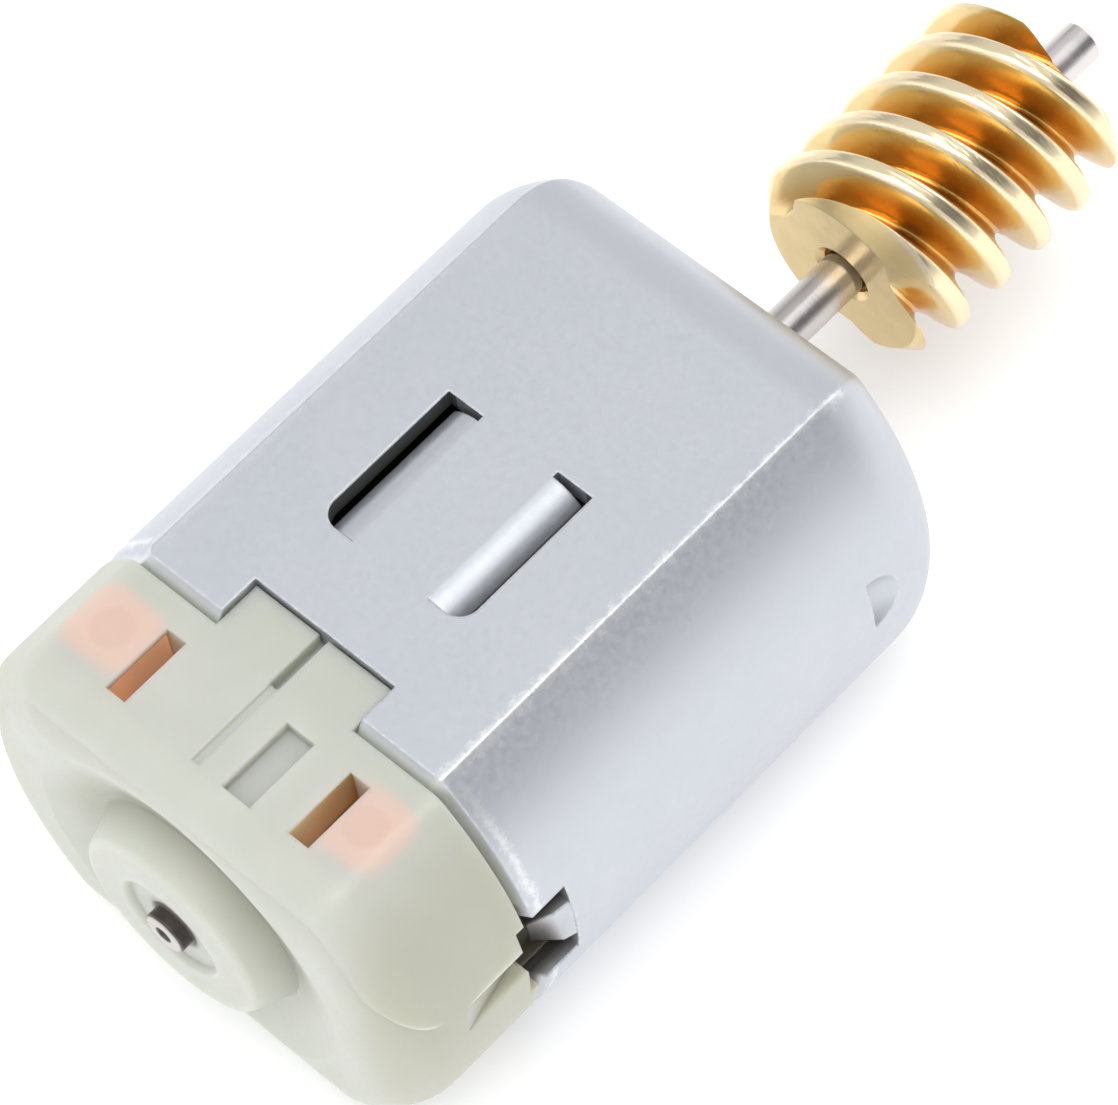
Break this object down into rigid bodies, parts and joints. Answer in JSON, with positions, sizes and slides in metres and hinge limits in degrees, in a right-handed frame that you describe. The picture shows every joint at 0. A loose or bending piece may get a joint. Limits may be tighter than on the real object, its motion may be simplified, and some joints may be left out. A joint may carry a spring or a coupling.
{
  "type": "electric motor",
  "caption": "Small flat-sided brushed direct-current motor with a moulded end bell and a brass multi-start worm fixed on its output shaft.",
  "frame": {"origin": "point where the shaft axis meets the front face of the can", "axes": "+X along the shaft towards the worm; +Z out of the flat side that has the two lanced tabs and the end bell's notch; +Y across the wide rounded sides"},
  "size_m": [0.0552, 0.0242, 0.0184],
  "materials": {
    "can_steel": "bright zinc plated, satin",
    "sintered_bronze": "sintered, oiled",
    "ferrite": "matt fired",
    "spring_steel": "bright rolled",
    "shaft_steel": "ground",
    "core_steel": "stamped edges",
    "insulator_plastic": "satin",
    "magnet_wire": "enamelled copper, gloss",
    "washer_plastic": "satin",
    "commutator_plastic": "moulded resin",
    "copper": "bright rolled copper",
    "nylon": "natural milky nylon, semi-gloss",
    "spring_copper": "bright rolled",
    "carbon": "pressed carbon, matt",
    "worm_brass": "polished, machined"
  },
  "bodies": {
    "frame": {"housing_can": "can_steel", "front_bearing": "sintered_bronze", "rear_bearing": "sintered_bronze", "magnet_left": "ferrite", "magnet_right": "ferrite", "magnet_spring": "spring_steel", "end_bell": "nylon", "terminal_left": "copper", "terminal_right": "copper"},
    "rotor": {"shaft": "shaft_steel", "lamination_stack": "core_steel", "insulator_front": "insulator_plastic", "insulator_rear": "insulator_plastic", "coil_1": "magnet_wire", "coil_2": "magnet_wire", "coil_3": "magnet_wire", "spacer_sleeve": "insulator_plastic", "thrust_washer_front": "washer_plastic", "thrust_washer_rear": "washer_plastic", "commutator_base": "commutator_plastic", "commutator_segments": "copper", "commutator_ring": "commutator_plastic", "worm": "worm_brass"},
    "brush_gear_left": {"brush_arm_left": "spring_copper", "brush_left": "carbon"},
    "brush_gear_right": {"brush_arm_right": "spring_copper", "brush_right": "carbon"}
  },
  "joints": [
    {"name": "rotor_spin", "type": "hinge", "parent": "frame", "child": "rotor", "pos_m": [0, 0, 0], "axis": [1, 0, 0], "continuous": true},
    {"name": "brush_left_flex", "type": "hinge", "parent": "frame", "child": "brush_gear_left", "pos_m": [-0.0241, 0.00532, 0.0056], "axis": [1, 0, 0], "range_deg": [0, 6], "stiffness_Nm_per_rad": 0.01},
    {"name": "brush_right_flex", "type": "hinge", "parent": "frame", "child": "brush_gear_right", "pos_m": [-0.0241, -0.00532, 0.0056], "axis": [-1, 0, 0], "range_deg": [0, 6], "stiffness_Nm_per_rad": 0.01}
  ]
}
